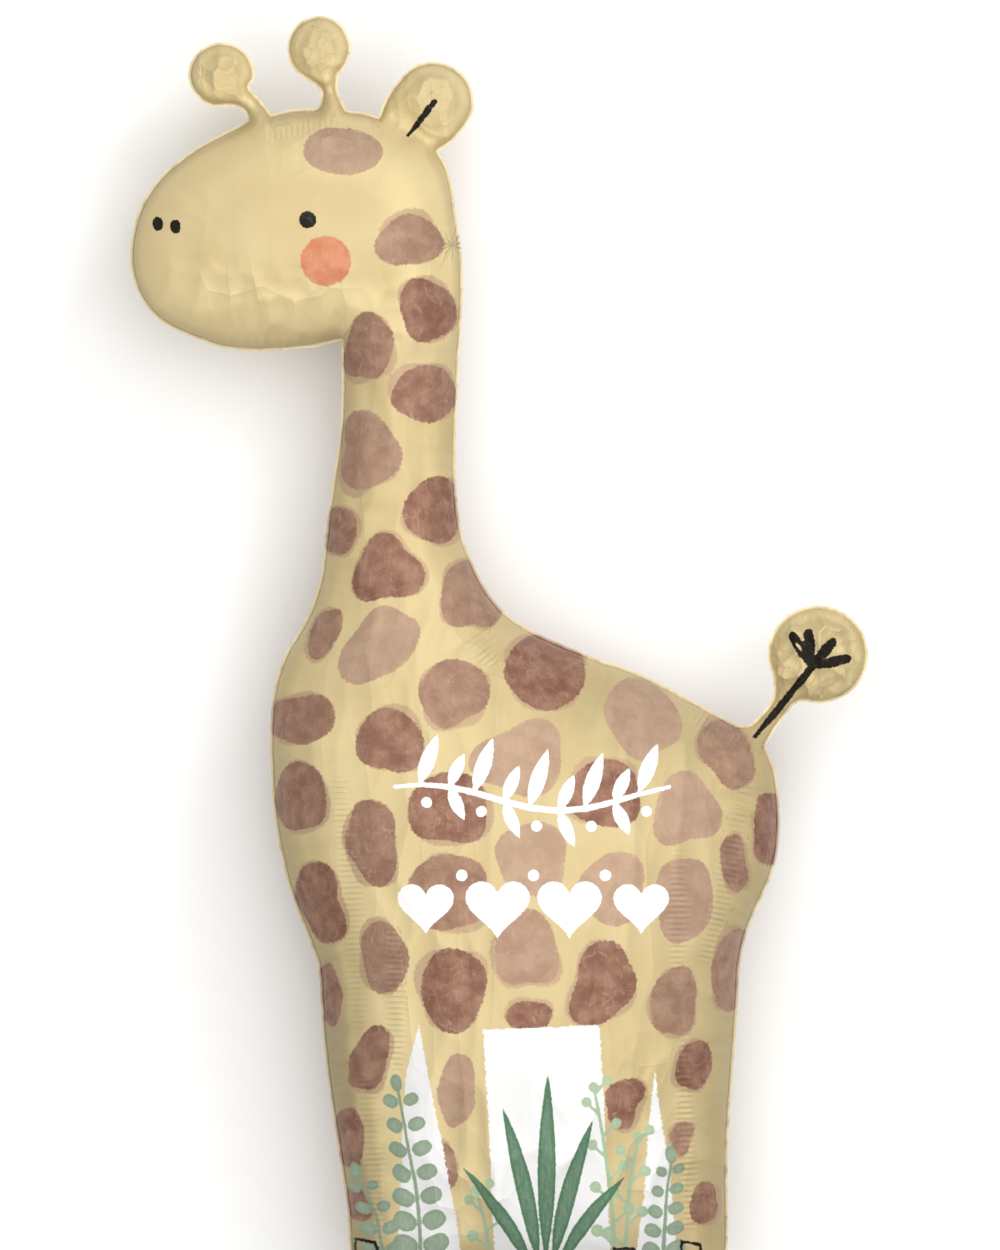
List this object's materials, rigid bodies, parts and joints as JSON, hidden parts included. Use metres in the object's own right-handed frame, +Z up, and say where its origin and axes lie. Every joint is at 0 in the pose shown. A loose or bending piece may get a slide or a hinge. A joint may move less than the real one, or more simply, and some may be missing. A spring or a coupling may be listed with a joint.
{
  "type": "foil balloon",
  "caption": "Giraffe-shaped foil party balloon, filled and lying on its back, with a sealed edge all round and a flat filling neck between its feet.",
  "frame": {"origin": "centre of the bounding box in plan, at the floor the balloon lies on", "axes": "+Y from the feet to the head, +Z up out of the printed face, the muzzle points to -X and the tail to +X"},
  "size_m": [0.62, 1.105, 0.2352],
  "materials": {
    "printed_film": "satin, printed on metallised film"
  },
  "bodies": {
    "root": {"foil_balloon": "printed_film"}
  },
  "joints": []
}
